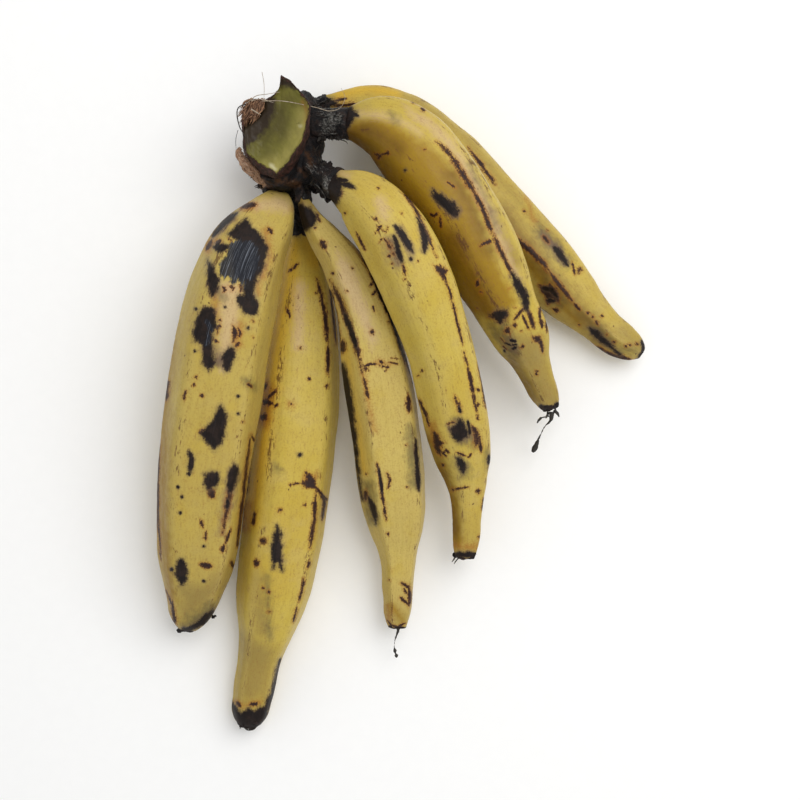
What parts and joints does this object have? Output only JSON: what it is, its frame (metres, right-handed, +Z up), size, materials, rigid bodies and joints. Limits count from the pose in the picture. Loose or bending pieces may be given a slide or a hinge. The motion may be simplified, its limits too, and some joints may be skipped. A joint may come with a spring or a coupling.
{
  "type": "plantain hand",
  "caption": "Hand of ripe yellow plantains with black scuffs, joined on one cut piece of bunch stalk and lying on its side with the fingers fanned out.",
  "frame": {"origin": "on the surface under the middle of the whole hand", "axes": "+Z up from the surface; +Y from the finger tips to the stalk; +X towards the outermost finger on the right"},
  "size_m": [0.2222, 0.2956, 0.08],
  "materials": {
    "peel": "waxy ripe yellow peel with black scuffs and brown ridge lines",
    "withered": "rough black withered stalk tissue",
    "cut_stalk": "moist olive-green cut face with a brown fibrous rim",
    "dry_thread": "thin dried black flower thread"
  },
  "bodies": {
    "root": {"crown_stalk": "cut_stalk", "crown_cushion": "withered", "finger_1": "peel", "finger_2": "peel", "finger_3": "peel", "finger_4": "peel", "finger_5": "peel", "finger_6": "peel", "pedicel_1": "withered", "pedicel_2": "withered", "pedicel_3": "withered", "pedicel_4": "withered", "pedicel_5": "withered", "pedicel_6": "withered", "style_3": "dry_thread", "style_5": "dry_thread"}
  },
  "joints": []
}
